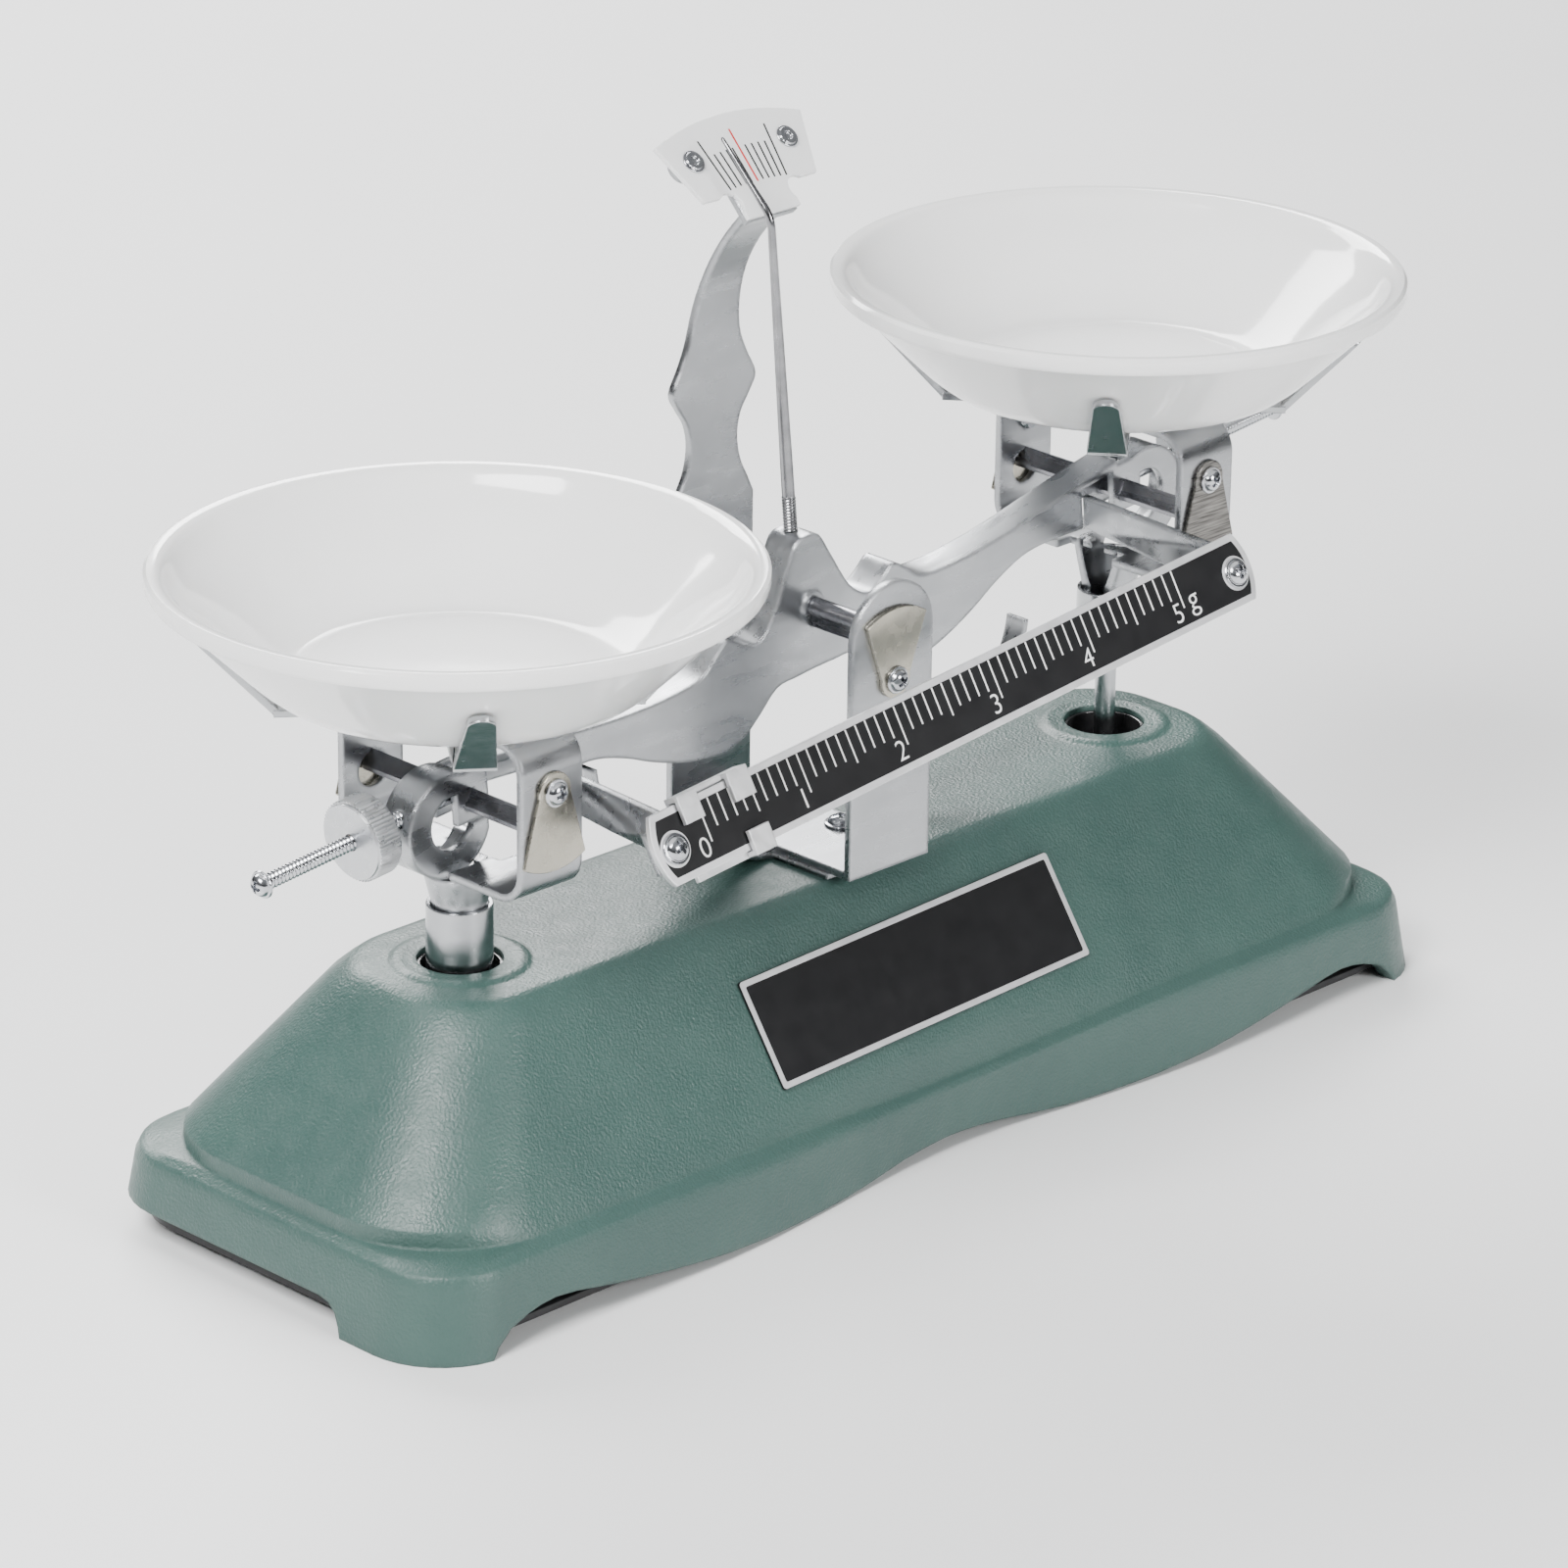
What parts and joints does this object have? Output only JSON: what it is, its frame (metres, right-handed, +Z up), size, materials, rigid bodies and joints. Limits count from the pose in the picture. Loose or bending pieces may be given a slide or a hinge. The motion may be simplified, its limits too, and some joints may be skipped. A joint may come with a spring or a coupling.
{
  "type": "equal arm balance scale",
  "caption": "Equal arm table balance: pressed beam on a knife edge, loose white pans on upright stirrups, side ruler with sliding rider, pointer and dial.",
  "frame": {"origin": "on the table under the centre of the base", "axes": "+X along the beam towards the right pan, -Y the front with the ruler, +Z up"},
  "size_m": [0.2348, 0.092, 0.1559],
  "materials": {
    "green_paint": "fine orange-peel texture, semi gloss",
    "black_steel": "satin black",
    "black_liner": "glossy black",
    "black_label": "satin black print",
    "zinc_sheet": "zinc plated, satin",
    "bright_zinc": "bright plated",
    "screw_steel": "bright plated",
    "knife_steel": "ground steel",
    "cover_nickel": "warm nickel plate, satin",
    "ruler_edge": "satin aluminium",
    "ruler_white": "white print",
    "dial_white": "gloss white",
    "dial_black": "black print",
    "dial_red": "red print",
    "nut_alloy": "machined, knurled rim",
    "pan_white": "glossy white"
  },
  "bodies": {
    "base": {"base_housing": "green_paint", "bottom_plate": "black_steel", "bottom_plate_screws": "screw_steel", "hole_liners": "black_liner", "nameplate": "black_label", "link_bracket": "zinc_sheet", "link_bracket_screws": "screw_steel", "link_axle": "screw_steel", "centre_bracket": "zinc_sheet", "bracket_screws": "screw_steel", "stop_plate": "zinc_sheet", "front_post_cover": "cover_nickel", "back_post_cover": "cover_nickel", "post_cover_screws": "screw_steel", "dial_plate": "dial_white", "dial_rivets": "screw_steel", "dial_marks": "dial_black", "dial_zero": "dial_red"},
    "beam": {"beam_body": "zinc_sheet", "centre_knife": "knife_steel", "end_knives": "knife_steel", "pointer": "screw_steel", "ruler_arms": "zinc_sheet", "ruler_plate": "ruler_edge", "ruler_face": "black_label", "ruler_marks": "ruler_white", "ruler_screws": "screw_steel", "balance_screws": "screw_steel"},
    "rider": {"rider": "bright_zinc"},
    "nut_left": {"nut_left": "nut_alloy"},
    "nut_right": {"nut_right": "nut_alloy"},
    "stirrup_left": {"stirrup_left": "zinc_sheet", "covers_left": "cover_nickel", "cover_screws_left": "screw_steel", "carrier_left": "bright_zinc", "ferrule_left": "bright_zinc", "stem_left": "bright_zinc"},
    "stirrup_right": {"stirrup_right": "zinc_sheet", "covers_right": "cover_nickel", "cover_screws_right": "screw_steel", "carrier_right": "bright_zinc", "ferrule_right": "bright_zinc", "stem_right": "bright_zinc"},
    "lower_link": {"lower_link": "zinc_sheet", "link_pins": "screw_steel"},
    "pan_left": {"pan_left": "pan_white"},
    "pan_right": {"pan_right": "pan_white"}
  },
  "joints": [
    {"name": "beam_swing", "type": "hinge", "parent": "base", "child": "beam", "pos_m": [0, 0, 0.0783], "axis": [0, 1, 0], "range_deg": [0, 11.4]},
    {"name": "left_stirrup_swing", "type": "hinge", "parent": "beam", "child": "stirrup_left", "pos_m": [-0.07144, 0, 0.07117], "axis": [0, 1, 0], "range_deg": [-11.4, 0]},
    {"name": "right_stirrup_swing", "type": "hinge", "parent": "beam", "child": "stirrup_right", "pos_m": [0.07144, 0, 0.08543], "axis": [0, 1, 0], "range_deg": [-11.4, 0]},
    {"name": "link_swing", "type": "hinge", "parent": "base", "child": "lower_link", "pos_m": [0, 0, 0.024], "axis": [0, 1, 0], "range_deg": [0, 11.4]},
    {"name": "rider_slide", "type": "slide", "parent": "beam", "child": "rider", "axis": [0.9951, 0, 0.0993], "range_m": [0, 0.104]},
    {"name": "left_nut_slide", "type": "slide", "parent": "beam", "child": "nut_left", "axis": [-0.9951, 0, -0.0993], "range_m": [-0.0035, 0.0155]},
    {"name": "right_nut_slide", "type": "slide", "parent": "beam", "child": "nut_right", "axis": [0.9951, 0, 0.0993], "range_m": [-0.0035, 0.0155]},
    {"name": "left_pan_lift", "type": "slide", "parent": "stirrup_left", "child": "pan_left", "axis": [0, 0, 1], "range_m": [0, 0.03]},
    {"name": "right_pan_lift", "type": "slide", "parent": "stirrup_right", "child": "pan_right", "axis": [0, 0, 1], "range_m": [0, 0.03]}
  ],
  "couplings": [
    {"joint": "left_stirrup_swing", "follows": "beam_swing", "ratio": -1},
    {"joint": "right_stirrup_swing", "follows": "beam_swing", "ratio": -1},
    {"joint": "link_swing", "follows": "beam_swing", "ratio": 1}
  ]
}
